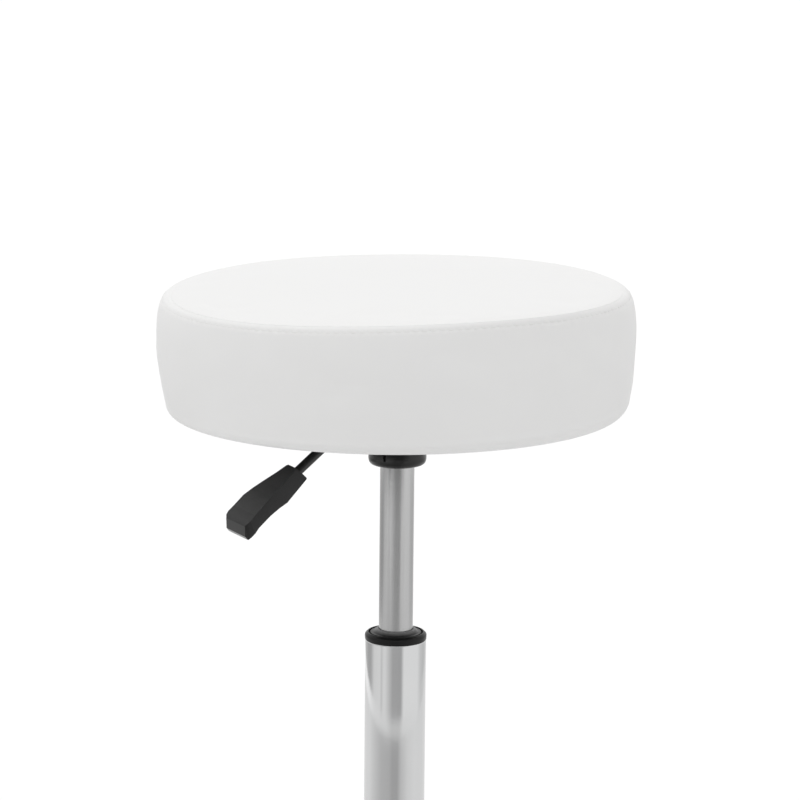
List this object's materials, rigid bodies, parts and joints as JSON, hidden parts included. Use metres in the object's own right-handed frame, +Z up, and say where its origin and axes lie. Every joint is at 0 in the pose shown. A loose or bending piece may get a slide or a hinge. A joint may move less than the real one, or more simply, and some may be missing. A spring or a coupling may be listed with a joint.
{
  "type": "counter stool",
  "caption": "Round padded counter stool on a gas-lift swivel column, with a height lever, a loop footrest and a weighted trumpet base.",
  "frame": {"origin": "on the floor at the centre of the base, under the column's axis", "axes": "+Z up along the column; -Y towards the front of the footrest loop; the lever is at rest between -X and -Y"},
  "size_m": [0.41, 0.41, 0.725],
  "materials": {
    "white_leather": "smooth white upholstery leather, satin",
    "chrome": "polished chrome plate",
    "satin_steel": "ground satin steel tube",
    "gloss_black": "moulded gloss black",
    "black_plastic": "moulded black with a fine texture",
    "black_steel": "black powder coat",
    "steel": "zinc-plated or ground steel",
    "cast_iron": "raw casting, painted",
    "rubber": "moulded black rubber",
    "plywood": "birch plywood",
    "foam": "polyurethane foam",
    "backing": "black non-woven sheet",
    "nylon": "natural nylon"
  },
  "bodies": {
    "base": {"base_shell": "chrome", "base_ballast": "cast_iron", "base_floor_ring": "rubber", "base_hub": "steel", "base_neck_collar": "black_plastic", "base_bolt_1": "steel", "base_bolt_2": "steel", "base_bolt_3": "steel", "base_bolt_4": "steel", "outer_column": "chrome", "guide_bush": "gloss_black", "lower_race": "steel", "footrest_collar": "chrome", "footrest_loop": "chrome", "footrest_screw_1": "black_steel", "footrest_screw_2": "black_steel"},
    "spindle": {"piston_rod": "steel", "piston": "steel", "piston_seal": "rubber", "piston_nut": "steel", "rod_bumper": "rubber", "upper_race": "steel", "clip_washer": "steel", "retaining_clip": "black_steel"},
    "bearing": {"bearing_cage": "nylon", "bearing_ball_1": "steel", "bearing_ball_2": "steel", "bearing_ball_3": "steel", "bearing_ball_4": "steel", "bearing_ball_5": "steel", "bearing_ball_6": "steel", "bearing_ball_7": "steel", "bearing_ball_8": "steel"},
    "seat": {"pressure_tube": "satin_steel", "inner_cylinder": "steel", "rod_guide": "nylon", "rod_seal": "rubber", "valve_body": "steel", "socket_cup": "gloss_black", "mount_plate": "black_steel", "mechanism_housing": "black_steel", "pivot_bracket": "black_steel", "lever_pivot_pin": "steel", "seat_board": "plywood", "foam_pad": "foam", "seat_cover_top": "white_leather", "seat_cover_band": "white_leather", "dust_cover": "backing", "seat_nut_1": "steel", "seat_bolt_1": "steel", "seat_nut_2": "steel", "seat_bolt_2": "steel", "seat_nut_3": "steel", "seat_bolt_3": "steel", "seat_nut_4": "steel", "seat_bolt_4": "steel"},
    "lever": {"lever_rod": "black_steel", "lever_grip": "black_plastic"},
    "pin": {"release_pin": "steel"}
  },
  "joints": [
    {"name": "seat_swivel", "type": "hinge", "parent": "base", "child": "spindle", "pos_m": [0, 0, 0.0289], "axis": [0, 0, 1], "continuous": true},
    {"name": "bearing_turn", "type": "hinge", "parent": "base", "child": "bearing", "pos_m": [0, 0, 0.0239], "axis": [0, 0, 1], "continuous": true},
    {"name": "seat_lift", "type": "slide", "parent": "spindle", "child": "seat", "axis": [0, 0, 1], "range_m": [-0.125, 0.075]},
    {"name": "height_lever", "type": "hinge", "parent": "seat", "child": "lever", "pos_m": [-0.02378, -0.02141, 0.6062], "axis": [-0.6691, 0.7431, 0], "range_deg": [0, 5], "stiffness_Nm_per_rad": 1.5},
    {"name": "valve_pin", "type": "slide", "parent": "seat", "child": "pin", "axis": [0, 0, -1], "range_m": [0, 0.0028]}
  ],
  "couplings": [
    {"joint": "bearing_turn", "follows": "seat_swivel", "ratio": 0.5},
    {"joint": "valve_pin", "follows": "height_lever", "m_per_rad": 0.032}
  ]
}
